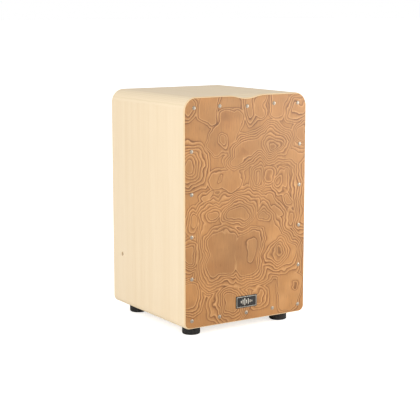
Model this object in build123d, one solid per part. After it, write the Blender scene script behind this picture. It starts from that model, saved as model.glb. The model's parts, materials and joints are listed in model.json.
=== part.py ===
from build123d import *
import os
from math import acos, atan2, cos, hypot, pi, sin, sqrt

# Cajon: a box drum that the player sits on. Millimetres, +Z up. The origin is the middle of the
# footprint, on the floor. The playing face (tapa) looks to -Y, and "left" is the -X side.

# ---- driving dimensions ----
body_width = 300.0
body_depth = 300.0
body_height = 468.0
top_corner_radius = 28.0
bottom_corner_radius = 13.0
edge_round = 4.0                # round-over run along the front and back outlines

tapa_thickness = 3.0
side_thickness = 9.0
seat_thickness = 12.0
bottom_thickness = 9.0
back_thickness = 5.0
batten_size = 18.0              # square strips that the front and back sheets are screwed to
block_chamfer = 7.0             # inner edge of the corner blocks

scoop_half_width = 45.0         # dish sanded into the middle of the seat's front edge
scoop_depth = 6.0

sound_hole_radius = 60.0
sound_hole_height = 282.0       # centre, above the body's underside
sound_hole_edge_round = 1.0

screw_head_radius = 4.2         # raised-head wood screws in both sheets
screw_head_rise = 1.8
screw_rim = 0.7
screw_shank_radius = 1.75
screw_length = 16.0
screw_point = 4.0
recess_length = 4.6             # cross recess in a screw head
recess_width = 1.0
recess_depth = 1.1
screw_from_batten_edge = 8.0
screws_per_side = 6
corner_screw_inward = 6.0       # the top corner screws stand clear of the rounded corner
corner_screw_drop = 1.5
scoop_screw_drop = 3.0
sheet_hole_gap = 0.3            # radial, shank to sheet
pilot_gap = 0.05                # radial, shank to batten

foot_radius = 19.0
foot_height = 20.0
foot_round = 3.0
foot_inset = 40.0               # centre, from the body's sides and faces
foot_recess_radius = 6.5
foot_recess_depth = 11.0
foot_screw_shank_radius = 2.0
foot_screw_head_radius = 4.0
foot_screw_head_height = 2.4
foot_screw_length = 18.0
washer_radius = 6.0
washer_thickness = 1.3
washer_hole_gap = 0.2

badge_width = 52.0
badge_height = 25.0
badge_thickness = 1.0
badge_above_underside = 28.0
badge_corner = 1.2
motif_rise = 0.3
motif_line = 0.8
motif_margin = 1.6
motif_bar_width = 1.8
motif_bar_pitch = 4.4
motif_bar_heights = (5.0, 10.0, 15.0, 8.0, 12.0, 6.0, 3.5)

string_count = 4
string_radius = 0.5
string_spacing = 24.0
string_to_tapa = 0.2            # gap at the lower saddle
anchor_height = 14.0
anchor_below_rail = 8.0
anchor_slot_width = 1.6
anchor_slot_spare = 0.4
ball_end_radius = 2.0
ball_end_height = 3.5
ball_to_tapa = 0.2
saddle_radius = 4.0
saddle_above_rail = 23.0
saddle_seat_depth = 5.0
saddle_gap = 0.05               # radial, string or batten to saddle rod

key_hole_radius = 4.5
key_hole_from_back = 43.0
key_hole_height = 113.0         # above the body's underside
key_passage_radius = 6.5
bearing_block_length = 18.0
bearing_block_half = 20.0
spindle_radius = 6.0
spindle_end_recess = 1.0        # spindle end to the end of its bush
running_gap = 0.05              # radial, spindle to bush
moving_gap = 0.3                # faces that pass each other when the spindle turns
slip_gap = 0.02                 # radial, pieces that are fixed on the spindle
bush_wall = 2.0
bush_depth = 10.0
bush_flange_radius = 11.0
bush_flange_thickness = 2.0
bush_gap = 0.02                 # radial, bush to block
friction_washer_radius = 10.0
friction_washer_thickness = 1.0
collar_radius = 11.0
collar_length = 8.0
grub_radius = 2.0
grub_gap = 0.02
hex_across_flats = 6.0
hex_depth = 10.0
winding_turns = 3
winding_pitch = 1.05
string_hole_radius = 0.9

# ---- places worked out from them ----
half_width = body_width / 2
half_depth = body_depth / 2
underside = foot_height
top = underside + body_height
tapa_back = -half_depth + tapa_thickness
back_front = half_depth - back_thickness
inner_x = half_width - side_thickness
inner_floor = underside + bottom_thickness
inner_ceiling = top - seat_thickness
batten_inner_x = inner_x - batten_size
front_batten_back = tapa_back + batten_size
back_batten_front = back_front - batten_size

key_y = half_depth - key_hole_from_back
key_z = underside + key_hole_height
winding_radius = spindle_radius + string_radius + slip_gap
bush_bore = spindle_radius + running_gap
bush_outer = bush_bore + bush_wall
bush_outer_end = inner_x - bearing_block_length + bush_depth
flange_face = inner_x - bearing_block_length - bush_flange_thickness
spindle_end = bush_outer_end - spindle_end_recess

saddle_wrap = saddle_radius + string_radius + saddle_gap
saddle_y = tapa_back + string_to_tapa + string_radius + saddle_wrap
saddle_z = inner_floor + batten_size + saddle_above_rail
anchor_top = inner_ceiling - batten_size - anchor_below_rail
anchor_string_y = tapa_back + ball_end_radius + ball_to_tapa

low = Align.MIN
mid = Align.CENTER


# ---- small helpers ----
def span_box(x_span, y_span, z_span):
    # block that fills three (low, high) spans
    corner = Pos(x_span[0], y_span[0], z_span[0])
    sizes = [span[1] - span[0] for span in (x_span, y_span, z_span)]
    return corner * Box(*sizes, align=(low, low, low))


def rod_x(radius, x_span, y, z):
    turned = Rot(0, 90, 0) * Cylinder(radius, x_span[1] - x_span[0], align=(mid, mid, low))
    return Pos(x_span[0], y, z) * turned


def rod_y(radius, y_span, x, z):
    turned = Rot(-90, 0, 0) * Cylinder(radius, y_span[1] - y_span[0], align=(mid, mid, low))
    return Pos(x, y_span[0], z) * turned


def rod_z(radius, z_span, x, y):
    return Pos(x, y, z_span[0]) * Cylinder(radius, z_span[1] - z_span[0], align=(mid, mid, low))


def group(pieces):
    return Compound(children=list(pieces))


def mirror_x(shape):
    return mirror(shape, about=Plane.YZ)


# ---- outer form ----
def scoop_cutter():
    # dish with a round bottom and a rim that runs out level with the seat
    lowest = (0, -scoop_depth)
    turn = (scoop_half_width / 2, -scoop_depth / 2)
    rim = (scoop_half_width, 0)
    bowl = TangentArc(lowest, turn, tangent=(1, 0))
    lip = TangentArc(rim, turn, tangent=(-1, 0))
    above = Polyline(rim, (scoop_half_width, scoop_depth), (0, scoop_depth), lowest)
    section = Plane.XZ * make_face([bowl, lip, above])
    return Pos(0, -half_depth, top) * revolve(section, axis=Axis.Z)


def outer_form():
    form = span_box((-half_width, half_width), (-half_depth, half_depth), (underside, top))
    lengthways = form.edges().filter_by(Axis.Y).group_by(Axis.Z)
    form = fillet(lengthways[-1], top_corner_radius)
    lengthways = form.edges().filter_by(Axis.Y).group_by(Axis.Z)
    form = fillet(lengthways[0], bottom_corner_radius)
    form = form - scoop_cutter()
    form = fillet(form.faces().sort_by(Axis.Y)[0].edges(), edge_round)
    return fillet(form.faces().sort_by(Axis.Y)[-1].edges(), edge_round)


# ---- screws ----
def screw_places():
    # (x, z) of the screws round a sheet: two side columns, then the rows between them
    column_x = inner_x - screw_from_batten_edge
    bottom_z = inner_floor + screw_from_batten_edge
    top_z = inner_ceiling - screw_from_batten_edge
    places = []
    for side in (-1, 1):
        for step in range(screws_per_side - 1):
            rise = (top_z - corner_screw_drop - bottom_z) * step / (screws_per_side - 1)
            places.append((side * column_x, bottom_z + rise))
        places.append((side * (column_x - corner_screw_inward), top_z - corner_screw_drop))
        places.append((side * column_x / 2, bottom_z))
        places.append((side * column_x / 2, top_z))
    places.append((0, bottom_z))
    places.append((0, top_z - scoop_screw_drop))
    return places


def cross_recess(head_height):
    arm = Box(recess_length, recess_width, recess_depth, align=(mid, mid, Align.MAX))
    return Pos(0, 0, head_height) * (arm + Rot(0, 0, 90) * arm)


def raised_screw():
    # domed head above z = 0, shank and point below
    dome = TangentArc((0, screw_head_rise), (screw_head_radius, screw_rim), tangent=(1, 0))
    side = Polyline(
        (screw_head_radius, screw_rim),
        (screw_head_radius, 0),
        (screw_shank_radius, 0),
        (screw_shank_radius, screw_point - screw_length),
        (0, -screw_length),
        (0, screw_head_rise),
    )
    turned = revolve(Plane.XZ * make_face([dome, side]), axis=Axis.Z)
    return turned - cross_recess(screw_head_rise)


def front_screws():
    screw = Rot(90, 0, 0) * raised_screw()
    return group(Pos(x, -half_depth, z) * screw for x, z in screw_places())


def back_screws():
    screw = Rot(-90, 0, 0) * raised_screw()
    return group(Pos(x, half_depth, z) * screw for x, z in screw_places())


def drilled(piece, y_span, gap):
    # piece with the holes of every sheet screw that crosses it
    for x, z in screw_places():
        piece = piece - rod_y(screw_shank_radius + gap, y_span, x, z)
    return piece


# ---- box ----
def tapa(form):
    sheet_span = (-half_depth, tapa_back)
    sheet = form & span_box((-half_width, half_width), sheet_span, (underside, top))
    return drilled(sheet, sheet_span, sheet_hole_gap)


def back_panel(form):
    sheet_span = (back_front, half_depth)
    sheet = form & span_box((-half_width, half_width), sheet_span, (underside, top))
    sheet = sheet - rod_y(sound_hole_radius, sheet_span, 0, underside + sound_hole_height)
    hole_edges = sheet.edges().filter_by(GeomType.CIRCLE).group_by(SortBy.RADIUS)[-1]
    sheet = fillet(hole_edges, sound_hole_edge_round)
    return drilled(sheet, sheet_span, sheet_hole_gap)


def seat_panel(form):
    return form & span_box((-half_width, half_width), (tapa_back, back_front), (inner_ceiling, top))


def bottom_panel(form):
    plate = form & span_box((-half_width, half_width), (tapa_back, back_front), (underside, inner_floor))
    reach = washer_seat() + foot_screw_length + moving_gap
    for x, y in foot_places():
        plate = plate - rod_z(foot_screw_shank_radius + pilot_gap, (underside, reach), x, y)
    return plate


def left_side_panel(form):
    plate = form & span_box((-half_width, -inner_x), (tapa_back, back_front), (inner_floor, inner_ceiling))
    return plate - rod_x(key_hole_radius, (-half_width, -inner_x), key_y, key_z)


def right_side_panel(form):
    return form & span_box((inner_x, half_width), (tapa_back, back_front), (inner_floor, inner_ceiling))


# ---- inner frame ----
def pilot_span_front():
    return (tapa_back, -half_depth + screw_length + moving_gap)


def pilot_span_back():
    return (half_depth - screw_length - moving_gap, back_front)


def left_front_stile():
    stile = span_box((-inner_x, -batten_inner_x), (tapa_back, front_batten_back), (inner_floor, inner_ceiling))
    seat_span = (-batten_inner_x - saddle_seat_depth, -batten_inner_x)
    stile = stile - rod_x(saddle_radius + saddle_gap, seat_span, saddle_y, saddle_z)
    return drilled(stile, pilot_span_front(), pilot_gap)


def left_back_stile():
    stile = span_box((-inner_x, -batten_inner_x), (back_batten_front, back_front), (inner_floor, inner_ceiling))
    return drilled(stile, pilot_span_back(), pilot_gap)


def rail(z_span, y_span, pilot_span):
    strip = span_box((-batten_inner_x, batten_inner_x), y_span, z_span)
    return drilled(strip, pilot_span, pilot_gap)


def left_corner_block(z_span, inner_z):
    # strip along the corner between the front and back frames, inner edge taken off
    strip = span_box((-inner_x, -batten_inner_x), (front_batten_back, back_batten_front), z_span)
    edges = strip.edges().filter_by(Axis.Y).group_by(Axis.X)[-1]
    inner_edge = edges.sort_by(lambda edge: abs(edge.center().Z - inner_z))[0]
    return chamfer(inner_edge, block_chamfer)


# ---- feet ----
def foot_places():
    x = half_width - foot_inset
    y = half_depth - foot_inset
    return [(-x, -y), (x, -y), (-x, y), (x, y)]


def washer_seat():
    return foot_recess_depth - washer_thickness


def foot():
    section = make_face(
        Polyline(
            (foot_screw_shank_radius + washer_hole_gap, foot_recess_depth),
            (foot_recess_radius, foot_recess_depth),
            (foot_recess_radius, 0),
            (foot_radius, 0),
            (foot_radius, foot_height),
            (foot_screw_shank_radius + washer_hole_gap, foot_height),
            close=True,
        )
    )
    tread_corner = section.vertices().sort_by_distance((foot_radius, 0))[0]
    return revolve(Plane.XZ * fillet(tread_corner, foot_round), axis=Axis.Z)


def foot_washer():
    ring = rod_z(washer_radius, (washer_seat(), foot_recess_depth), 0, 0)
    return ring - rod_z(foot_screw_shank_radius + washer_hole_gap, (washer_seat(), foot_recess_depth), 0, 0)


def foot_screw():
    head_low = washer_seat() - foot_screw_head_height
    head = rod_z(foot_screw_head_radius, (head_low, washer_seat()), 0, 0)
    shank = rod_z(foot_screw_shank_radius, (washer_seat(), washer_seat() + foot_screw_length), 0, 0)
    recess = Pos(0, 0, head_low) * Rot(180, 0, 0) * cross_recess(0)
    return head + shank - recess


# ---- badge ----
def badge_plate():
    face = -half_depth
    z_span = (underside + badge_above_underside, underside + badge_above_underside + badge_height)
    plate = span_box((-badge_width / 2, badge_width / 2), (face - badge_thickness, face), z_span)
    return fillet(plate.edges().filter_by(Axis.Y), badge_corner)


def badge_motif():
    # raised border line and a row of plain upright bars
    y_span = (-half_depth - badge_thickness - motif_rise, -half_depth - badge_thickness)
    middle = underside + badge_above_underside + badge_height / 2
    across = badge_width / 2 - motif_margin
    upright = badge_height / 2 - motif_margin
    border = span_box((-across, across), y_span, (middle - upright, middle + upright))
    window_x = across - motif_line
    window_z = upright - motif_line
    border = border - span_box((-window_x, window_x), y_span, (middle - window_z, middle + window_z))
    pieces = [border]
    first = -motif_bar_pitch * (len(motif_bar_heights) - 1) / 2
    for count, height in enumerate(motif_bar_heights):
        x = first + count * motif_bar_pitch
        z_span = (middle - height / 2, middle + height / 2)
        pieces.append(span_box((x - motif_bar_width / 2, x + motif_bar_width / 2), y_span, z_span))
    return group(pieces)


# ---- strings ----
def string_xs():
    first = -string_spacing * (string_count - 1) / 2
    return [first + count * string_spacing for count in range(string_count)]


def touch_angle(start, start_radius, end, end_radius, turn):
    # direction from both centres, in the YZ plane, to a straight run that touches both circles
    along = atan2(end[1] - start[1], end[0] - start[0])
    reach = hypot(end[0] - start[0], end[1] - start[1])
    return along + turn * acos((start_radius - end_radius) / reach)


def on_circle(centre, radius, angle):
    return (centre[0] + radius * cos(angle), centre[1] + radius * sin(angle))


def snare_string():
    # from the ball end down behind the tapa, under the saddle rod and back to the spindle
    saddle = (saddle_y, saddle_z)
    spindle = (key_y, key_z)
    ball = (anchor_string_y, anchor_top)
    upper = touch_angle(saddle, saddle_wrap, ball, 0, 1)
    lower = touch_angle(saddle, saddle_wrap, spindle, winding_radius, -1)
    enter = on_circle(saddle, saddle_wrap, upper)
    leave = on_circle(saddle, saddle_wrap, lower)
    arrive = on_circle(spindle, winding_radius, lower)
    short = sqrt((winding_radius + moving_gap) ** 2 - winding_radius**2)
    end = (arrive[0] + short * sin(lower), arrive[1] - short * cos(lower))
    middle = on_circle(saddle, saddle_wrap, (upper + lower + 2 * pi) / 2)
    path = Line(ball, enter) + ThreePointArc(enter, middle, leave) + Line(leave, end)
    path = Plane.YZ * path
    profile = Plane(origin=path @ 0, z_dir=path % 0) * Circle(string_radius)
    return sweep(profile, path=path)


def string_anchor():
    y_span = (tapa_back, front_batten_back)
    bar = span_box((-batten_inner_x, batten_inner_x), y_span, (anchor_top - anchor_height, anchor_top))
    slot_back = anchor_string_y + string_radius + anchor_slot_spare
    for x in string_xs():
        x_span = (x - anchor_slot_width / 2, x + anchor_slot_width / 2)
        bar = bar - span_box(x_span, (tapa_back, slot_back), (anchor_top - anchor_height, anchor_top))
    return bar


def string_ball_ends():
    z_span = (anchor_top, anchor_top + ball_end_height)
    return group(rod_z(ball_end_radius, z_span, x, anchor_string_y) for x in string_xs())


def saddle_rod():
    reach = batten_inner_x + saddle_seat_depth - pilot_gap
    return rod_x(saddle_radius, (-reach, reach), saddle_y, saddle_z)


# ---- tension spindle ----
def left_bearing_block():
    x_span = (-inner_x, -inner_x + bearing_block_length)
    z_span = (key_z - bearing_block_half, key_z + bearing_block_half)
    block = span_box(x_span, (key_y - bearing_block_half, back_batten_front), z_span)
    block = block - rod_x(bush_outer + bush_gap, (-bush_outer_end, x_span[1]), key_y, key_z)
    return block - rod_x(key_passage_radius, (-inner_x, -bush_outer_end), key_y, key_z)


def right_bearing_block():
    x_span = (inner_x - bearing_block_length, inner_x)
    z_span = (key_z - bearing_block_half, key_z + bearing_block_half)
    block = span_box(x_span, (key_y - bearing_block_half, back_batten_front), z_span)
    return block - rod_x(bush_outer + bush_gap, (x_span[0], bush_outer_end), key_y, key_z)


def left_bush():
    block_face = -inner_x + bearing_block_length
    barrel = rod_x(bush_outer, (-bush_outer_end, block_face), key_y, key_z)
    flange = rod_x(bush_flange_radius, (block_face, -flange_face), key_y, key_z)
    return barrel + flange - rod_x(bush_bore, (-bush_outer_end, -flange_face), key_y, key_z)


def tension_spindle():
    shaft = rod_x(spindle_radius, (-spindle_end, spindle_end), key_y, key_z)
    hexagon = RegularPolygon(hex_across_flats / 2, 6, major_radius=False)
    socket = Pos(-spindle_end, key_y, key_z) * Rot(0, 90, 0) * extrude(hexagon, hex_depth)
    shaft = shaft - socket
    for x in string_xs():
        hole_x = x + winding_offset(winding_turns)
        z_span = (key_z - spindle_radius, key_z + spindle_radius)
        shaft = shaft - rod_z(string_hole_radius, z_span, hole_x, key_y)
    return shaft


def winding_offset(turn):
    # distance along the spindle from a string's run to the middle of a turn beside it
    return 2 * string_radius + moving_gap + turn * winding_pitch


def string_winding(x):
    # wound turns, each closed on itself
    turns = []
    for turn in range(winding_turns):
        place = Pos(x + winding_offset(turn), key_y, key_z) * Rot(0, 90, 0)
        turns.append(place * Torus(winding_radius, string_radius))
    return group(turns)


def left_friction_washer():
    start = -flange_face + moving_gap
    x_span = (start, start + friction_washer_thickness)
    disc = rod_x(friction_washer_radius, x_span, key_y, key_z)
    return disc - rod_x(spindle_radius + slip_gap, x_span, key_y, key_z)


def collar_span():
    start = -flange_face + moving_gap + friction_washer_thickness
    return (start, start + collar_length)


def grub_x():
    return sum(collar_span()) / 2


def left_collar():
    ring = rod_x(collar_radius, collar_span(), key_y, key_z)
    ring = ring - rod_x(spindle_radius + slip_gap, collar_span(), key_y, key_z)
    return ring - rod_z(grub_radius + grub_gap, (key_z, key_z + collar_radius), grub_x(), key_y)


def left_grub_screw():
    z_span = (key_z + spindle_radius + grub_gap, key_z + collar_radius - moving_gap)
    screw = rod_z(grub_radius, z_span, grub_x(), key_y)
    hexagon = RegularPolygon(grub_radius / 2, 6, major_radius=False)
    socket = Pos(grub_x(), key_y, z_span[1]) * extrude(hexagon, -grub_radius)
    return screw - socket


# ---- assembly ----
def build_nodes():
    form = outer_form()
    front_y = (tapa_back, front_batten_back)
    back_y = (back_batten_front, back_front)
    upper_z = (inner_ceiling - batten_size, inner_ceiling)
    lower_z = (inner_floor, inner_floor + batten_size)
    nodes = {
        "tapa": tapa(form),
        "seat_panel": seat_panel(form),
        "bottom_panel": bottom_panel(form),
        "left_side_panel": left_side_panel(form),
        "right_side_panel": right_side_panel(form),
        "back_panel": back_panel(form),
        "top_front_rail": rail(upper_z, front_y, pilot_span_front()),
        "bottom_front_rail": rail(lower_z, front_y, pilot_span_front()),
        "top_back_rail": rail(upper_z, back_y, pilot_span_back()),
        "bottom_back_rail": rail(lower_z, back_y, pilot_span_back()),
        "tapa_screws": front_screws(),
        "back_screws": back_screws(),
        "badge_plate": badge_plate(),
        "badge_motif": badge_motif(),
        "string_anchor": string_anchor(),
        "string_ball_ends": string_ball_ends(),
        "saddle_rod": saddle_rod(),
        "left_bearing_block": left_bearing_block(),
        "right_bearing_block": right_bearing_block(),
        "tension_spindle": tension_spindle(),
    }
    pairs = {
        "front_stile": left_front_stile(),
        "back_stile": left_back_stile(),
        "top_corner_block": left_corner_block(upper_z, upper_z[0]),
        "bottom_corner_block": left_corner_block(lower_z, lower_z[1]),
        "bush": left_bush(),
        "friction_washer": left_friction_washer(),
        "collar": left_collar(),
        "grub_screw": left_grub_screw(),
    }
    for name, piece in pairs.items():
        nodes["left_" + name] = piece
        nodes["right_" + name] = mirror_x(piece)
    foot_names = ("front_left_foot", "front_right_foot", "back_left_foot", "back_right_foot")
    for name, (x, y) in zip(foot_names, foot_places()):
        nodes[name] = Pos(x, y, 0) * foot()
    nodes["foot_washers"] = group(Pos(x, y, 0) * foot_washer() for x, y in foot_places())
    nodes["foot_screws"] = group(Pos(x, y, 0) * foot_screw() for x, y in foot_places())
    run = snare_string()
    for count, x in enumerate(string_xs(), start=1):
        nodes[f"snare_string_{count}"] = Pos(x, 0, 0) * run
        nodes[f"string_winding_{count}"] = string_winding(x)
    return nodes


os.makedirs("parts", exist_ok=True)
for node_name, shape in build_nodes().items():
    export_step(shape, f"parts/{node_name}.step")
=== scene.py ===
import json
from math import cos, pi, radians, sin
import bmesh
import bpy
from mathutils import Matrix, Vector


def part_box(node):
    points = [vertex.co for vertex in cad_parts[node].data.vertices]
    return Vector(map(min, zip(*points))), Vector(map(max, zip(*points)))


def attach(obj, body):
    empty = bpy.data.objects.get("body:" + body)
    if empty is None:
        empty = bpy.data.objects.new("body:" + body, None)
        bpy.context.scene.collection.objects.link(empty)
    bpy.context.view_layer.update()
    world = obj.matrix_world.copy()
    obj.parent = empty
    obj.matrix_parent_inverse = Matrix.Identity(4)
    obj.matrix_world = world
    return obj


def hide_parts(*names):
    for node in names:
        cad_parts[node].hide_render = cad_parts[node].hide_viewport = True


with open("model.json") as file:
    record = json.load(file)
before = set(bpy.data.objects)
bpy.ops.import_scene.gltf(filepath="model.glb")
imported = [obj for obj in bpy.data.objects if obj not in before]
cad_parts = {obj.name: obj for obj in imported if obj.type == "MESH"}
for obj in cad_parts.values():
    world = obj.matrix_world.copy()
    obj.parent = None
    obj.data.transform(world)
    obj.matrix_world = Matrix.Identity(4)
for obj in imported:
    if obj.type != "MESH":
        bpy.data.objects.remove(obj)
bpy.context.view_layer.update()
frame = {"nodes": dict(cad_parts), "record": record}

mm = 0.001
noiseSpan = {1: 0.3, 2: 0.7}  # a noise runs mostly between these
print("frame loaded:", len(frame["nodes"]), "parts")


# small helpers
def linear(hexColour):
    # sRGB hex to the linear numbers that shaders take
    parts = [int(hexColour[i : i + 2], 16) / 255 for i in (1, 3, 5)]
    return tuple(p / 12.92 if p <= 0.04045 else ((p + 0.055) / 1.055) ** 2.4 for p in parts) + (1.0,)


def put(tree, kind, inputs=None, stops=None, **settings):
    # adds a node with its settings, its values and its links
    node = tree.nodes.new("ShaderNode" + kind)
    for name, value in settings.items():
        setattr(node, name, value)
    for name, value in (inputs or {}).items():
        socket = node.inputs[name]
        if isinstance(value, bpy.types.NodeSocket):
            tree.links.new(value, socket)
        else:
            socket.default_value = value
    if stops:
        marks = node.color_ramp.elements
        while len(marks) < len(stops):
            marks.new(0.5)
        for mark, (place, colour) in zip(marks, stops):
            mark.position = place
            mark.color = colour
    return node


def begin(name):
    # empty material, ready for its nodes
    material = bpy.data.materials.new(name)
    material.use_nodes = True
    material.node_tree.nodes.clear()
    return material, material.node_tree


def close(tree, shader):
    put(tree, "OutputMaterial", {"Surface": shader.outputs[0]})


def millimetres(tree):
    # place on the object in mm, as one vector and as x, y and z
    place = put(tree, "TexCoord").outputs["Object"]
    scaled = put(tree, "VectorMath", {0: place, "Scale": 1000.0}, operation="SCALE").outputs[0]
    split = put(tree, "SeparateXYZ", {0: scaled})
    return scaled, split.outputs[0], split.outputs[1], split.outputs[2]


def dress(nodeName, material):
    # gives a part of the frame its material
    part = frame["nodes"][nodeName]
    part.data.materials.clear()
    part.data.materials.append(material)


# Burl veneer, sliced and pressed on a light ply, then sprayed with satin lacquer: nested brown growth
# lines round the eyes, fine upright grain, and a pale core where the edge is rounded through it.
burl = {
    "light": "#cf9a60",
    "tan": "#b68046",
    "brown": "#a9723a",
    "line": "#7a4a1c",
    "core": "#e6c99e",
    "veneer": 0.35,  # mm thick, running out over the next figure where the edge is rounded
    "runOut": 0.08,
    "roughness": 0.55,
    "coat": 0.1,
    "coatRoughness": 0.35,
    # the layers lie at the valley's height between the rises, and run together over the merge
    "valley": 0.7,
    "merge": 0.7,
    "phase": 0.33,
    # sizes are mm across one swell of a noise; sway and crinkle are how many mm they push a line
    "swaySize": 46.0,
    "sway": 42.0,
    "crinkleSize": 13.0,
    "crinkle": 5.0,
    "wanderSize": 45.0,
    "wander": 0.6,
    "vigourSize": 33.0,
    "faintest": 0.62,
    "cloudSize": 70.0,
    "cloud": (0.86, 1.07),
    "aged": 0.9,
    "agedFrom": 7.5,
    "agedTo": 9.5,
    "grain": (0.86, 1.08),
    "grainAlong": 0.035,
    "fleck": 0.8,
    "fleckAlong": 0.1,
    # each plain patch or eye is the flat top of a rise in the growth layers: x, z above the box's
    # underside, half width, half height, corner radius, lean to the right in degrees, how many lines
    # high it is, and the mm from line to line on its slope
    "rises": [
        (-138, 332, 8, 13, 8, 0, 7.7, 6.4),
        (-138, 160, 6, 12, 6, 0, 5.7, 6.2),
        (-140, 66, 24, 26, 20, 16, 4.7, 5.6),
        (-134, 448, 6, 10, 6, 20, 3.7, 6.5),
        (-55, 398, 25, 44, 20, 34, 2.85, 5.0),
        (-57, 378, 4, 9, 4, 0, 4.9, 5.5),
        (-93, 446, 17, 30, 12, 4, 2.7, 5.0),
        (5, 448, 7, 26, 7, -10, 3.7, 6.5),
        (34, 446, 9, 22, 8, 0, 2.7, 5.0),
        (80, 452, 17, 34, 12, 4, 2.7, 5.0),
        (136, 436, 14, 6, 6, 12, 4.7, 6.5),
        (140, 384, 8, 12, 8, 0, 4.7, 6.0),
        (34, 363, 62, 12, 12, -8, 5.7, 5.4),
        (66, 364, 17, 9, 9, 0, 8.3, 5.2),
        (66, 365, 4, 3, 3, 0, 9.9, 5.0),
        (-16, 342, 24, 8, 8, -46, 5.7, 5.0),
        (112, 338, 44, 6, 6, 12, 3.7, 6.0),
        (-53, 296, 36, 15, 8, 0, 2.7, 5.0),
        (-71, 299, 3, 6, 3, 0, 3.9, 4.5),
        (27, 296, 4, 12, 4, 6, 5.3, 5.0),
        (53, 299, 2, 12, 2, 0, 4.0, 5.5),
        (81, 286, 6, 9, 6, 0, 4.3, 6.5),
        (-34, 190, 64, 54, 52, 0, 5.7, 6.2),
        (40, 166, 42, 42, 40, 0, 5.7, 6.2),
        (-128, 216, 8, 10, 8, 30, 4.7, 6.2),
        (-100, 268, 5, 12, 5, 50, 2.7, 5.5),
        (86, 128, 34, 22, 20, 6, 5.7, 6.2),
        (-22, 226, 24, 8, 8, 0, 9.7, 5.4),
        (-82, 228, 10, 6, 6, 0, 7.7, 5.4),
        (44, 214, 10, 4, 4, 40, 7.7, 5.4),
        (-58, 147, 31, 43, 10, 5, 8.8, 5.2),
        (4, 138, 28, 42, 18, 0, 8.8, 5.2),
        (12, 147, 9, 23, 9, 0, 9.72, 6.0),
        (78, 137, 3, 8, 3, 0, 10.2, 5.8),
        (160, 258, 15, 72, 14, 0, 5.7, 6.2),
        (100, 292, 3, 16, 3, -8, 2.75, 5.5),
        (62, 244, 12, 5, 5, 34, 2.75, 5.5),
        (104, 246, 4, 14, 4, -20, 2.75, 5.5),
        (112, 206, 3, 9, 3, -24, 2.9, 6.0),
        (76, 222, 3, 12, 3, -30, 3.7, 6.0),
        (108, 50, 28, 42, 14, 6, 2.62, 5.0),
        (121, 62, 3, 8, 3, 0, 4.2, 4.5),
        (-40, 42, 15, 18, 14, 10, 7.7, 6.0),
        (34, 44, 3, 11, 3, 0, 3.9, 6.0),
    ],
}


def burlLevel(tree, place, underside):
    # height of the growth layers over the sheet; each whole number is a line
    wide = {"Vector": place, "Scale": 1 / burl["swaySize"], "Detail": 1.5}
    sway = put(tree, "TexNoise", wide).outputs["Color"]
    fine = {"Vector": place, "Scale": 1 / burl["crinkleSize"], "Detail": 1.0}
    crinkle = put(tree, "TexNoise", fine).outputs["Color"]
    swayed = put(tree, "VectorMath", {0: sway, 1: (0.5, 0.5, 0.5)}, operation="SUBTRACT").outputs[0]
    swayed = put(tree, "VectorMath", {0: swayed, "Scale": burl["sway"]}, operation="SCALE").outputs[0]
    crinkled = put(tree, "VectorMath", {0: crinkle, 1: (0.5, 0.5, 0.5)}, operation="SUBTRACT").outputs[0]
    crinkled = {0: crinkled, "Scale": burl["crinkle"]}
    crinkled = put(tree, "VectorMath", crinkled, operation="SCALE").outputs[0]
    moved = put(tree, "VectorMath", {0: place, 1: swayed}, operation="ADD").outputs[0]
    moved = put(tree, "VectorMath", {0: moved, 1: crinkled}, operation="ADD").outputs[0]
    moved = put(tree, "VectorMath", {0: moved, 1: (1, 0, 1)}, operation="MULTIPLY").outputs[0]
    level = burl["valley"]
    for x, z, halfWidth, halfHeight, corner, lean, top, spacing in burl["rises"]:
        centre = (x, 0, z + underside)
        straight = (halfWidth - corner, 0, halfHeight - corner)
        turn = (0, radians(lean), 0)
        turned = put(tree, "Mapping", {0: moved, 1: centre, 2: turn}, vector_type="TEXTURE").outputs[0]
        turned = put(tree, "VectorMath", {0: turned}, operation="ABSOLUTE").outputs[0]
        turned = put(tree, "VectorMath", {0: turned, 1: straight}, operation="SUBTRACT").outputs[0]
        turned = put(tree, "VectorMath", {0: turned, 1: (0, 0, 0)}, operation="MAXIMUM").outputs[0]
        reach = put(tree, "VectorMath", {0: turned}, operation="LENGTH").outputs["Value"]
        slope = {0: reach, 1: -1 / spacing, 2: top + corner / spacing}
        rise = put(tree, "Math", slope, operation="MULTIPLY_ADD").outputs[0]
        rise = put(tree, "Math", {0: rise, 1: top}, operation="MINIMUM").outputs[0]
        joined = {0: level, 1: rise, 2: burl["merge"]}
        level = put(tree, "Math", joined, operation="SMOOTH_MAX").outputs[0]
    slow = {"Vector": place, "Scale": 1 / burl["wanderSize"], "Detail": 1.0}
    wander = put(tree, "TexNoise", slow).outputs["Fac"]
    level = put(tree, "Math", {0: wander, 1: burl["wander"], 2: level}, operation="MULTIPLY_ADD").outputs[0]
    return put(tree, "Math", {0: level, 1: burl["phase"]}, operation="ADD").outputs[0]


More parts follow.
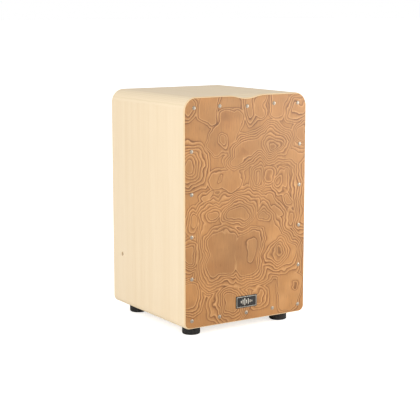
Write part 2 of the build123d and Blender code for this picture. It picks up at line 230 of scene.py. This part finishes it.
def burlLacquer(sheetFace, underside):
    material, tree = begin("burl veneer, satin lacquer")
    place, _, y, _ = millimetres(tree)
    level = burlLevel(tree, place, underside)
    ring = put(tree, "Math", {0: level}, operation="FRACT").outputs[0]
    figure = put(tree, "ValToRGB", {0: ring}, stops=[
        (0.0, linear(burl["light"])),
        (0.26, linear(burl["tan"])),
        (0.54, linear(burl["brown"])),
        (0.70, linear(burl["line"])),
        (0.82, linear(burl["line"])),
        (0.90, linear(burl["brown"])),
        (1.0, linear(burl["light"])),
    ]).outputs[0]
    # the figure is stronger in some places than in others
    patches = {"Vector": place, "Scale": 1 / burl["vigourSize"], "Detail": 1.0}
    vigour = put(tree, "TexNoise", patches).outputs["Fac"]
    vigour = put(tree, "MapRange", {0: vigour, 1: 0.35, 2: 0.62, 3: burl["faintest"], 4: 1.0}).outputs[0]
    figure = put(tree, "MixRGB", {0: vigour, 1: linear(burl["tan"]), 2: figure}).outputs[0]
    # fine upright grain, 1 mm wide and about 30 mm long, with short dark flecks in it
    stretched = put(tree, "Mapping", {"Vector": place, "Scale": (1.0, 1.0, burl["grainAlong"])}).outputs[0]
    grain = put(tree, "TexNoise", {"Vector": stretched, "Scale": 0.9, "Detail": 3.0}).outputs["Fac"]
    grain = {0: grain, **noiseSpan, 3: burl["grain"][0], 4: burl["grain"][1]}
    grain = put(tree, "MapRange", grain).outputs[0]
    cloud = {"Vector": place, "Scale": 1 / burl["cloudSize"], "Detail": 2.0}
    cloud = put(tree, "TexNoise", cloud).outputs["Fac"]
    cloud = {0: cloud, **noiseSpan, 3: burl["cloud"][0], 4: burl["cloud"][1]}
    cloud = put(tree, "MapRange", cloud).outputs[0]
    # the oldest wood, on top of the high rises, is the darkest
    aged = {0: level, 1: burl["agedFrom"], 2: burl["agedTo"], 3: 1.0, 4: burl["aged"]}
    aged = put(tree, "MapRange", aged).outputs[0]
    cloud = put(tree, "Math", {0: cloud, 1: aged}, operation="MULTIPLY").outputs[0]
    shade = put(tree, "Math", {0: grain, 1: cloud}, operation="MULTIPLY").outputs[0]
    short = put(tree, "Mapping", {"Vector": place, "Scale": (1.0, 1.0, burl["fleckAlong"])}).outputs[0]
    fleck = put(tree, "TexNoise", {"Vector": short, "Scale": 0.6, "Detail": 1.0}).outputs["Fac"]
    fleck = put(tree, "MapRange", {0: fleck, 1: 0.60, 2: 0.72, 3: 1.0, 4: burl["fleck"]}).outputs[0]
    shade = put(tree, "Math", {0: shade, 1: fleck}, operation="MULTIPLY").outputs[0]
    tone = put(tree, "VectorMath", {0: figure, "Scale": shade}, operation="SCALE").outputs[0]
    depth = put(tree, "Math", {0: y, 1: sheetFace / mm}, operation="SUBTRACT").outputs[0]
    sanded = {0: depth, 1: burl["veneer"], 2: burl["veneer"] + burl["runOut"]}
    sanded = put(tree, "MapRange", sanded).outputs[0]
    colour = put(tree, "MixRGB", {0: sanded, 1: tone, 2: linear(burl["core"])}).outputs[0]
    shader = put(tree, "BsdfPrincipled", {
        "Base Color": colour,
        "Roughness": burl["roughness"],
        "Coat Weight": burl["coat"],
        "Coat Roughness": burl["coatRoughness"],
    })
    close(tree, shader)
    return material


# Light ply with a basswood face, sanded, edges rounded, clear satin lacquer: cream, with faint grain
# along the panel and hair-thin layers that only just show where a rounding cuts through them.
ply = {
    "face": "#efdbbb",
    "faceDark": "#ead4b1",
    "layerDark": "#ead6b3",
    "layer": 1.5,
    "faceLayer": 0.6,
    "waverSize": 18.0,
    "waver": 1.6,
    "fineGrain": 0.5,
    "broadGrain": 0.07,
    "alongGrain": 0.03,
    "roughness": 0.52,
}


def plyLacquer(name, across, face, alongGrain):
    # across is the axis through the panel, face the place of its outer face in mm along it
    material, tree = begin(name)
    place, x, y, z = millimetres(tree)
    through = {"x": x, "y": y, "z": z}[across]
    waver = {"Vector": place, "Scale": 1 / ply["waverSize"], "Detail": 1.0}
    waver = put(tree, "TexNoise", waver).outputs["Fac"]
    depth = put(tree, "Math", {0: face, 1: through}, operation="SUBTRACT").outputs[0]
    depth = put(tree, "Math", {0: depth}, operation="ABSOLUTE").outputs[0]
    stretched = put(tree, "Mapping", {"Vector": place, "Scale": alongGrain}).outputs[0]
    streak = {"Vector": stretched, "Scale": ply["fineGrain"], "Detail": 4.0}
    streak = put(tree, "TexNoise", streak).outputs["Fac"]
    broad = {"Vector": stretched, "Scale": ply["broadGrain"], "Detail": 1.0}
    broad = put(tree, "TexNoise", broad).outputs["Fac"]
    both = put(tree, "Math", {0: streak, 1: broad}, operation="ADD").outputs[0]
    both = put(tree, "MapRange", {0: both, 1: 0.7, 2: 1.3}).outputs[0]
    faceTone = put(tree, "MixRGB", {0: both, 1: linear(ply["face"]), 2: linear(ply["faceDark"])}).outputs[0]
    count = put(tree, "Math", {0: waver, 1: ply["waver"], 2: depth}, operation="MULTIPLY_ADD").outputs[0]
    count = put(tree, "Math", {0: count, 1: 2 * ply["layer"]}, operation="DIVIDE").outputs[0]
    count = put(tree, "Math", {0: count}, operation="FRACT").outputs[0]
    layer = put(tree, "ValToRGB", {0: count}, stops=[
        (0.0, linear(ply["layerDark"])),
        (0.42, linear(ply["layerDark"])),
        (0.50, linear(ply["face"])),
        (0.92, linear(ply["face"])),
        (1.0, linear(ply["layerDark"])),
    ]).outputs[0]
    inside = {0: depth, 1: ply["faceLayer"] - 0.2, 2: ply["faceLayer"] + 0.4}
    inside = put(tree, "MapRange", inside).outputs[0]
    colour = put(tree, "MixRGB", {0: inside, 1: faceTone, 2: layer}).outputs[0]
    pores = put(tree, "Bump", {"Height": streak, "Strength": 0.05, "Distance": 0.0002}).outputs[0]
    shine = {0: broad, 3: ply["roughness"] - 0.05, 4: ply["roughness"] + 0.07}
    shine = put(tree, "MapRange", shine).outputs[0]
    shader = put(tree, "BsdfPrincipled", {
        "Base Color": colour,
        "Roughness": shine,
        "Normal": pores,
    })
    close(tree, shader)
    return material


boxLow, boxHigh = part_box("tapa")
underside = boxLow.z / mm
sheetFace = boxLow.y
dress("tapa", burlLacquer(sheetFace, underside))
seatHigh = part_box("seat_panel")[1].z / mm
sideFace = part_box("left_side_panel")[0].x / mm
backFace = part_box("back_panel")[1].y / mm
alongDepthGrain = (1, ply["alongGrain"], 1)
uprightGrain = (1, 1, ply["alongGrain"])
dress("seat_panel", plyLacquer("seat ply, lacquered", "z", seatHigh, alongDepthGrain))
dress("bottom_panel", plyLacquer("bottom ply, lacquered", "z", underside, alongDepthGrain))
dress("left_side_panel", plyLacquer("left side ply, lacquered", "x", sideFace, uprightGrain))
dress("right_side_panel", plyLacquer("right side ply, lacquered", "x", -sideFace, uprightGrain))
dress("back_panel", plyLacquer("back ply, lacquered", "y", backFace, uprightGrain))
print("panels dressed")


# Pine battens, planed and left bare: growth rings 3 mm apart that run out as stripes along each
# strip and as arcs on its ends, paler early wood and orange late wood, no shine.
pine = {
    "early": "#e8cc98",
    "late": "#cc9a5c",
    "ring": 3.2,
    "roughness": 0.72,
    "pith": 46.0,  # mm from the strip's middle to the middle of the tree, each way
    "sway": 14.0,
    "along": 0.04,
    "shade": (0.88, 1.06),
}


def planedPine(name, along, centre):
    material, tree = begin(name)
    place = millimetres(tree)[0]
    slow = pine["along"]
    stretch = {"x": (slow, 1, 1), "y": (1, slow, 1), "z": (1, 1, slow)}[along]
    flat = {"x": (0, 1, 1), "y": (1, 0, 1), "z": (1, 1, 0)}[along]
    stretched = put(tree, "Mapping", {"Vector": place, "Scale": stretch}).outputs[0]
    sway = put(tree, "TexNoise", {"Vector": stretched, "Scale": 0.05, "Detail": 2.0}).outputs["Fac"]
    grain = put(tree, "TexNoise", {"Vector": stretched, "Scale": 1.3, "Detail": 3.0}).outputs["Fac"]
    pith = [value / mm - pine["pith"] for value in centre]
    across = put(tree, "VectorMath", {0: place, 1: pith}, operation="SUBTRACT").outputs[0]
    across = put(tree, "VectorMath", {0: across, 1: flat}, operation="MULTIPLY").outputs[0]
    radius = put(tree, "VectorMath", {0: across}, operation="LENGTH").outputs["Value"]
    radius = put(tree, "Math", {0: sway, 1: pine["sway"], 2: radius}, operation="MULTIPLY_ADD").outputs[0]
    ring = put(tree, "Math", {0: radius, 1: pine["ring"]}, operation="DIVIDE").outputs[0]
    ring = put(tree, "Math", {0: ring}, operation="FRACT").outputs[0]
    tone = put(tree, "ValToRGB", {0: ring}, stops=[
        (0.0, linear(pine["early"])),
        (0.55, linear(pine["early"])),
        (0.9, linear(pine["late"])),
        (1.0, linear(pine["early"])),
    ]).outputs[0]
    shade = {0: grain, **noiseSpan, 3: pine["shade"][0], 4: pine["shade"][1]}
    shade = put(tree, "MapRange", shade).outputs[0]
    tone = put(tree, "VectorMath", {0: tone, "Scale": shade}, operation="SCALE").outputs[0]
    bump = put(tree, "Bump", {"Height": grain, "Strength": 0.2, "Distance": 0.0003}).outputs[0]
    shader = {"Base Color": tone, "Roughness": pine["roughness"], "Normal": bump}
    close(tree, put(tree, "BsdfPrincipled", shader))
    return material


for row in frame["record"]["subparts"]:
    if row["material_slot"] == "pine":
        low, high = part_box(row["node"])
        longest = max("xyz", key=lambda axis: getattr(high - low, axis))
        dress(row["node"], planedPine("planed pine, " + row["node"], longest, (low + high) / 2))
print("battens dressed")


# metals, rubber and plastic
def metalFinish(name, tone, tint, roughness, marks, markStretch, strength):
    # marks is how many mm from one tool mark to the next, markStretch draws them out
    material, tree = begin(name)
    place = millimetres(tree)[0]
    stretched = put(tree, "Mapping", {"Vector": place, "Scale": markStretch}).outputs[0]
    lines = put(tree, "TexNoise", {"Vector": stretched, "Scale": 1 / marks, "Detail": 2.0}).outputs["Fac"]
    cloud = put(tree, "TexNoise", {"Vector": place, "Scale": 0.25, "Detail": 2.0}).outputs["Fac"]
    colour = put(tree, "MixRGB", {0: cloud, 1: linear(tone), 2: linear(tint)}).outputs[0]
    dull = {0: lines, **noiseSpan, 3: roughness - 0.08, 4: roughness + 0.1}
    dull = put(tree, "MapRange", dull).outputs[0]
    bump = put(tree, "Bump", {"Height": lines, "Strength": strength, "Distance": 0.00005}).outputs[0]
    shader = {"Base Color": colour, "Metallic": 1.0, "Roughness": dull, "Normal": bump}
    close(tree, put(tree, "BsdfPrincipled", shader))
    return material


def mouldedFinish(name, tone, worn, roughness, grain, strength):
    # grain is the size in mm of the mould's texture
    material, tree = begin(name)
    place = millimetres(tree)[0]
    pits = put(tree, "TexNoise", {"Vector": place, "Scale": 1 / grain, "Detail": 2.0}).outputs["Fac"]
    cloud = put(tree, "TexNoise", {"Vector": place, "Scale": 0.12, "Detail": 3.0}).outputs["Fac"]
    dusty = put(tree, "MapRange", {0: cloud, 1: 0.45, 2: 0.75}).outputs[0]
    colour = put(tree, "MixRGB", {0: dusty, 1: linear(tone), 2: linear(worn)}).outputs[0]
    dull = {0: cloud, **noiseSpan, 3: roughness - 0.05, 4: roughness + 0.08}
    dull = put(tree, "MapRange", dull).outputs[0]
    bump = put(tree, "Bump", {"Height": pits, "Strength": strength, "Distance": 0.0001}).outputs[0]
    shader = {"Base Color": colour, "Roughness": dull, "Normal": bump}
    close(tree, put(tree, "BsdfPrincipled", shader))
    return material


looks = {
    # zinc plate on steel: a soft, slightly warm grey, clouded
    "zinc_steel": metalFinish("zinc plate, clouded", "#beb3a3", "#a59a89", 0.42, 1.5, (1, 1, 1), 0.1),
    # moulded rubber: near black, dull, with a fine mould grain and dusty patches
    "rubber": mouldedFinish("moulded black rubber", "#0b0a09", "#131110", 0.52, 0.5, 0.25),
    # stoved enamel on the badge: deep black with a soft shine
    "black_badge": mouldedFinish("black stoved enamel", "#14110f", "#1b1815", 0.30, 0.8, 0.05),
    # aluminium brushed along the badge: fine streaks 0.3 mm apart
    "badge_metal": metalFinish("brushed aluminium", "#e2ddd0", "#cfc9ba", 0.34, 0.3, (0.04, 1, 1), 0.3),
    # drawn music wire: smooth and bright, with faint draw marks along it
    "string_steel": metalFinish("drawn music wire", "#c6c6c8", "#b2b2b5", 0.26, 0.6, (1, 1, 0.1), 0.1),
    # brass turned on a lathe: warm yellow, fine rings round the axis
    "brass": metalFinish("turned brass", "#d8b265", "#c79c4f", 0.28, 0.5, (1, 0.05, 0.05), 0.3),
    # nylon washers, punched from sheet: milky and soft
    "nylon": mouldedFinish("punched nylon", "#e4e1d4", "#d9d5c6", 0.48, 0.9, 0.1),
    # mild steel turned on a lathe: grey, rings 0.5 mm apart round the axis
    "bright_steel": metalFinish("turned mild steel", "#a9a9ac", "#949498", 0.32, 0.5, (1, 0.05, 0.05), 0.3),
}
for row in frame["record"]["subparts"]:
    if row["material_slot"] in looks:
        dress(row["node"], looks[row["material_slot"]])
print("fittings dressed")


# the new pieces are built in mm
weld = 0.0005  # points closer than this become one
near = 0.01  # how exactly an edge is picked by its place
creaseAngle = 32


def keepPiece(name, bm, slot, body, *nodes):
    # bm is in mm; the piece lands in metres at the origin
    bmesh.ops.scale(bm, vec=(mm, mm, mm), verts=bm.verts)
    mesh = bpy.data.meshes.new(name)
    bm.to_mesh(mesh)
    bm.free()
    mesh.shade_smooth()
    mesh.set_sharp_from_angle(angle=radians(creaseAngle))
    piece = bpy.data.objects.new(name, mesh)
    bpy.context.scene.collection.objects.link(piece)
    mesh.materials.append(looks[slot])
    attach(piece, body)
    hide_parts(*nodes)
    return piece


def spinOutline(bm, outline, closed, steps):
    # turns an outline of (radius, height) points round the upright axis
    points = [bm.verts.new((radius, 0, height)) for radius, height in outline]
    ends = points[1:] + points[:1] if closed else points[1:]
    lines = [bm.edges.new(pair) for pair in zip(points, ends)]
    turn = {"cent": (0, 0, 0), "axis": (0, 0, 1), "angle": 2 * pi, "steps": steps}
    bmesh.ops.spin(bm, geom=points + lines, use_merge=True, **turn)
    bmesh.ops.remove_doubles(bm, verts=bm.verts, dist=weld)
    bmesh.ops.recalc_face_normals(bm, faces=bm.faces)


def ringEdges(bm, radius, height):
    # edges of one round corner of a turned piece
    def on(vert):
        return abs(vert.co.xy.length - radius) < near and abs(vert.co.z - height) < near
    return [edge for edge in bm.edges if on(edge.verts[0]) and on(edge.verts[1])]


def roundOver(bm, edges, size, segments):
    bmesh.ops.bevel(
        bm, geom=edges, offset=size, offset_type="OFFSET", segments=segments, profile=0.5,
        affect="EDGES", material=-1, clamp_overlap=True,
    )


foot = {
    "recessRadius": 6.5,
    "recessDepth": 11.0,
    "holeRadius": 2.2,
    "tread": 3.0,
    "lip": 0.7,
    "grooves": (9.4, 11.8, 14.2),
    "grooveWidth": 1.0,
    "grooveDepth": 0.9,
    "grooveSlope": 0.15,
    "recessRound": 0.5,
    "seam": 0.25,
    "seamHeight": 12.0,
    "seamHalf": 0.3,
    "steps": 96,
}


def makeFoot(node):
    # rubber bumper: ringed tread, rounded bottom edge, parting line of the mould, screw recess
    low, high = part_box(node)
    size = (high - low) / mm
    centre = (low + high) / 2 / mm
    wall = size.x / 2 - foot["seam"]
    outline = [(foot["holeRadius"], foot["recessDepth"]), (foot["recessRadius"], foot["recessDepth"])]
    outline.append((foot["recessRadius"], 0))
    for radius in foot["grooves"]:
        far = radius + foot["grooveWidth"]
        outline += [(radius, 0), (radius + foot["grooveSlope"], foot["grooveDepth"])]
        outline += [(far - foot["grooveSlope"], foot["grooveDepth"]), (far, 0)]
    seamLow, seamHigh = foot["seamHeight"] - foot["seamHalf"], foot["seamHeight"] + foot["seamHalf"]
    outline += [(wall, 0), (wall, seamLow), (wall + foot["seam"], foot["seamHeight"])]
    outline += [(wall, seamHigh), (wall, size.z), (foot["holeRadius"], size.z)]
    bm = bmesh.new()
    spinOutline(bm, outline, True, foot["steps"])
    roundOver(bm, ringEdges(bm, wall, 0), foot["tread"], 6)
    roundOver(bm, ringEdges(bm, wall, size.z), foot["lip"], 3)
    roundOver(bm, ringEdges(bm, foot["recessRadius"], 0), foot["recessRound"], 3)
    bmesh.ops.translate(bm, vec=(centre.x, centre.y, low.z / mm), verts=bm.verts)
    keepPiece("rubber_" + node, bm, "rubber", "box", node)


for node in ("front_left_foot", "front_right_foot", "back_left_foot", "back_right_foot"):
    makeFoot(node)
print("feet made")


screw = {
    "head": 3.9,
    "rise": 1.75,
    "flange": 0.55,
    "crown": 3.1,
    "crownFoot": 1.15,
    "fillet": 0.12,
    "rim": 0.2,
    "shank": 1.7,
    "length": 16.0,
    "point": 4.0,
    "slotLength": 4.4,
    "slotWidth": 1.15,
    "slotDepth": 1.45,
    "slotTaper": (0.35, 0.6, 1),
    "steps": 40,
    "turn": 137.5,
}


def screwHead():
    # flanged dome with a tapered cross recess, on a plain shank
    bm = bmesh.new()
    crown = screw["crown"]
    rise = screw["rise"]
    domeHeight = rise - screw["crownFoot"]
    outline = []
    for step in range(0, 91, 15):
        outline.append((crown * sin(radians(step)), rise - domeHeight * (1 - cos(radians(step)))))
    outline += [(crown + screw["fillet"], screw["flange"] + screw["fillet"])]
    outline += [(screw["head"] - screw["rim"], screw["flange"])]
    outline += [(screw["head"], screw["flange"] - screw["rim"])]
    outline += [(screw["head"], 0), (screw["shank"], 0)]
    outline += [(screw["shank"], screw["point"] - screw["length"]), (0, -screw["length"])]
    spinOutline(bm, outline, False, screw["steps"])
    mesh = bpy.data.meshes.new("screw blank")
    bm.to_mesh(mesh)
    bm.free()
    blank = bpy.data.objects.new("screw blank", mesh)
    bpy.context.scene.collection.objects.link(blank)
    cutters = []
    for turn in (0, pi / 2):
        bm = bmesh.new()
        bmesh.ops.create_cube(bm, size=1.0)
        slot = (screw["slotLength"], screw["slotWidth"], 2 * screw["slotDepth"])
        bmesh.ops.scale(bm, vec=slot, verts=bm.verts)
        deep = [vert for vert in bm.verts if vert.co.z < 0]
        bmesh.ops.scale(bm, vec=screw["slotTaper"], verts=deep)
        bmesh.ops.rotate(bm, cent=(0, 0, 0), matrix=Matrix.Rotation(turn, 3, "Z"), verts=bm.verts)
        bmesh.ops.translate(bm, vec=(0, 0, rise), verts=bm.verts)
        cutMesh = bpy.data.meshes.new("cross cutter")
        bm.to_mesh(cutMesh)
        bm.free()
        cutter = bpy.data.objects.new("cross cutter", cutMesh)
        bpy.context.scene.collection.objects.link(cutter)
        cut = blank.modifiers.new("cross", "BOOLEAN")
        cut.operation = "DIFFERENCE"
        cut.solver = "EXACT"
        cut.object = cutter
        cutters.append(cutter)
    bpy.context.view_layer.update()
    shape = bpy.data.meshes.new_from_object(blank.evaluated_get(bpy.context.evaluated_depsgraph_get()))
    for spare in cutters + [blank]:
        bpy.data.objects.remove(spare)
    return shape


def separateSpans(node):
    # lowest and highest corner in mm of each separate solid in a part of the frame
    bm = bmesh.new()
    bm.from_mesh(frame["nodes"][node].data)
    bmesh.ops.remove_doubles(bm, verts=bm.verts, dist=1e-7)
    seen = set()
    spans = []
    for start in bm.verts:
        if start in seen:
            continue
        island, waiting = {start}, [start]
        while waiting:
            for edge in waiting.pop().link_edges:
                fresh = set(edge.verts) - island
                island |= fresh
                waiting += fresh
        seen |= island
        low, high = (
            Vector([pick(vert.co[axis] for vert in island) / mm for axis in range(3)]) for pick in (min, max)
        )
        spans.append((low, high))
    bm.free()
    return sorted(spans, key=lambda span: (round(span[0].z, 1), round(span[0].x, 1)))


def makeScrews(name, node, face, tilt):
    # no two heads stop at the same angle
    bm = bmesh.new()
    for count, (low, high) in enumerate(separateSpans(node)):
        centre = (low + high) / 2
        known = len(bm.verts)
        bm.from_mesh(headShape)
        bm.verts.ensure_lookup_table()
        fresh = bm.verts[known:]
        spun = Matrix.Rotation(radians(screw["turn"] * count), 3, "Z")
        turn = Matrix.Rotation(radians(tilt), 3, "X") @ spun
        bmesh.ops.rotate(bm, cent=(0, 0, 0), matrix=turn, verts=fresh)
        bmesh.ops.translate(bm, vec=(centre.x, face, centre.z), verts=fresh)
    keepPiece(name, bm, "zinc_steel", "box", node)


headShape = screwHead()
makeScrews("raised_tapa_screws", "tapa_screws", sheetFace / mm, 90)
makeScrews("raised_back_screws", "back_screws", backFace, -90)
print("screws made")


badge = {"corner": 1.2, "ease": 0.3, "margin": 1.6, "line": 0.8, "softness": 0.1}


def blockBetween(bm, low, high):
    known = len(bm.verts)
    bmesh.ops.create_cube(bm, size=1.0)
    bm.verts.ensure_lookup_table()
    fresh = bm.verts[known:]
    bmesh.ops.scale(bm, vec=high - low, verts=fresh)
    bmesh.ops.translate(bm, vec=(low + high) / 2, verts=fresh)
    return fresh


def alongDepth(edge):
    return abs((edge.verts[0].co - edge.verts[1].co).normalized().y) > 0.9


def frontRim(bm, front):
    return [edge for edge in bm.edges if all(abs(vert.co.y - front) < near for vert in edge.verts)]


def makeBadgePlate():
    low, high = (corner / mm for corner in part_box("badge_plate"))
    bm = bmesh.new()
    blockBetween(bm, low, high)
    roundOver(bm, [edge for edge in bm.edges if alongDepth(edge)], badge["corner"], 5)
    roundOver(bm, frontRim(bm, low.y), badge["ease"], 3)
    keepPiece("enamel_badge_plate", bm, "black_badge", "box", "badge_plate")


def makeBadgeLines():
    # thin border and a row of plain upright bars, raised a little and softened by the polishing
    low, high = (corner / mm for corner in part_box("badge_motif"))
    bm = bmesh.new()
    bmesh.ops.create_grid(bm, x_segments=1, y_segments=1, size=0.5)
    bmesh.ops.rotate(bm, cent=(0, 0, 0), matrix=Matrix.Rotation(pi / 2, 3, "X"), verts=bm.verts)
    bmesh.ops.scale(bm, vec=(high.x - low.x, 1, high.z - low.z), verts=bm.verts)
    bmesh.ops.translate(bm, vec=((low.x + high.x) / 2, high.y, (low.z + high.z) / 2), verts=bm.verts)
    middle = list(bm.faces)
    bmesh.ops.inset_region(bm, faces=middle, thickness=badge["line"], use_boundary=True, use_even_offset=True)
    bmesh.ops.delete(bm, geom=middle, context="FACES")
    lifted = bmesh.ops.extrude_face_region(bm, geom=list(bm.faces))["geom"]
    lifted = [item for item in lifted if isinstance(item, bmesh.types.BMVert)]
    bmesh.ops.translate(bm, vec=(0, low.y - high.y, 0), verts=lifted)
    bmesh.ops.recalc_face_normals(bm, faces=bm.faces)
    for barLow, barHigh in separateSpans("badge_motif"):
        if barHigh.x - barLow.x < (high.x - low.x) / 2:
            blockBetween(bm, barLow, barHigh)
    rim = [edge for edge in frontRim(bm, low.y) if edge.calc_face_angle(0) > 0.5]
    roundOver(bm, rim, badge["softness"], 2)
    keepPiece("brushed_badge_lines", bm, "badge_metal", "box", "badge_motif")


makeBadgePlate()
makeBadgeLines()
print("badge made")


winding = {"turns": 3.4, "pitch": 1.05, "round": 10, "steps": 32}


def makeWinding(count):
    # the wound end of a string: a helix on the spindle that starts where the string comes off it
    node = "string_winding_" + str(count)
    low, high = (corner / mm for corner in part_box(node))
    radius = separateSpans(node)[0][1].x - separateSpans(node)[0][0].x
    wire = radius / 2
    wound = (high.z - low.z) / 2 - wire
    axisY, axisZ = (low.y + high.y) / 2, (low.z + high.z) / 2
    bm = bmesh.new()
    bmesh.ops.create_circle(bm, cap_ends=False, segments=winding["round"], radius=wire)
    bmesh.ops.rotate(bm, cent=(0, 0, 0), matrix=Matrix.Rotation(pi / 2, 3, "X"), verts=bm.verts)
    start = low.x + wire
    bmesh.ops.translate(bm, vec=(start, axisY, axisZ - wound), verts=bm.verts)
    steps = round(winding["steps"] * winding["turns"])
    end = high.x - wire
    bmesh.ops.spin(
        bm, geom=bm.verts[:] + bm.edges[:], cent=(0, axisY, axisZ), axis=(1, 0, 0),
        dvec=((end - start) / steps, 0, 0), angle=2 * pi * winding["turns"], steps=steps, use_merge=False,
    )
    bmesh.ops.remove_doubles(bm, verts=bm.verts, dist=weld)
    bmesh.ops.holes_fill(bm, edges=[edge for edge in bm.edges if edge.is_boundary], sides=0)
    bmesh.ops.recalc_face_normals(bm, faces=bm.faces)
    keepPiece("wound_string_end_" + str(count), bm, "string_steel", "spindle", node)


for count in (1, 2, 3, 4):
    makeWinding(count)
print("string ends wound")


# floor, lamps and camera
studio = {
    "cameraPlace": (-1.36688, -2.12841, 0.65771),
    "yaw": 32.8493,
    "pitch": 9.5726,
    "lens": 102.094,
    "sky": 0.76,
    "horizon": 0.65,
    "glow": 0.62,
    "floor": 60.0,
    "aim": (0, 0, 0.25),
    # name, place, width in metres, watts
    "lamps": [
        ("side lamp", (-1.75, -0.9, 0.95), 1.3, 16.5),
        ("front lamp", (0.8, -0.9, 0.45), 0.5, 6.5),
    ],
}


def makeFloor():
    mesh = bpy.data.meshes.new("floor")
    bm = bmesh.new()
    bmesh.ops.create_grid(bm, x_segments=1, y_segments=1, size=studio["floor"])
    bm.to_mesh(mesh)
    bm.free()
    floor = bpy.data.objects.new("floor", mesh)
    bpy.context.scene.collection.objects.link(floor)
    material, tree = begin("white paper sweep")
    place = millimetres(tree)[0]
    cloud = put(tree, "TexNoise", {"Vector": place, "Scale": 0.002}).outputs["Fac"]
    tone = put(tree, "MixRGB", {0: cloud, 1: linear("#f4f4f4"), 2: linear("#f7f7f7")}).outputs[0]
    paper = put(tree, "BsdfPrincipled", {"Base Color": tone, "Roughness": 0.8})
    # lifted to clean white where it is seen directly, so the sheet has no grey patches
    seen = put(tree, "LightPath").outputs["Is Camera Ray"]
    glow = put(tree, "Math", {0: seen, 1: studio["glow"]}, operation="MULTIPLY").outputs[0]
    lift = put(tree, "Emission", {"Strength": glow})
    close(tree, put(tree, "AddShader", {0: paper.outputs[0], 1: lift.outputs[0]}))
    mesh.materials.append(material)


def makeLights():
    world = bpy.data.worlds.new("soft room")
    bpy.context.scene.world = world
    world.use_nodes = True
    tree = world.node_tree
    height = put(tree, "SeparateXYZ", {0: put(tree, "TexCoord").outputs["Generated"]}).outputs[2]
    strength = {0: height, 1: -0.1, 2: 0.9, 3: studio["horizon"], 4: studio["sky"]}
    strength = put(tree, "MapRange", strength).outputs[0]
    seen = put(tree, "LightPath").outputs["Is Camera Ray"]
    strength = put(tree, "Math", {0: strength, 1: seen}, operation="MAXIMUM").outputs[0]
    tree.nodes["Background"].inputs["Color"].default_value = (1, 1, 1, 1)
    tree.links.new(strength, tree.nodes["Background"].inputs["Strength"])
    for name, place, size, power in studio["lamps"]:
        lamp = bpy.data.lights.new(name, "AREA")
        lamp.shape = "DISK"
        lamp.size = size
        lamp.energy = power
        light = bpy.data.objects.new(name, lamp)
        bpy.context.scene.collection.objects.link(light)
        light.location = place
        toMiddle = Vector(studio["aim"]) - light.location
        light.rotation_euler = toMiddle.to_track_quat("-Z", "Y").to_euler()


def makeCamera():
    data = bpy.data.cameras.new("camera")
    camera = bpy.data.objects.new("camera", data)
    bpy.context.scene.collection.objects.link(camera)
    data.lens = studio["lens"]
    data.clip_end = 200.0
    camera.location = studio["cameraPlace"]
    yaw = radians(studio["yaw"])
    pitch = radians(studio["pitch"])
    aim = Vector((sin(yaw) * cos(pitch), cos(yaw) * cos(pitch), -sin(pitch)))
    camera.rotation_euler = aim.to_track_quat("-Z", "Y").to_euler()
    bpy.context.scene.camera = camera


makeFloor()
makeLights()
makeCamera()
bpy.context.scene.view_settings.view_transform = "Standard"
print("floor, lamps and camera placed")
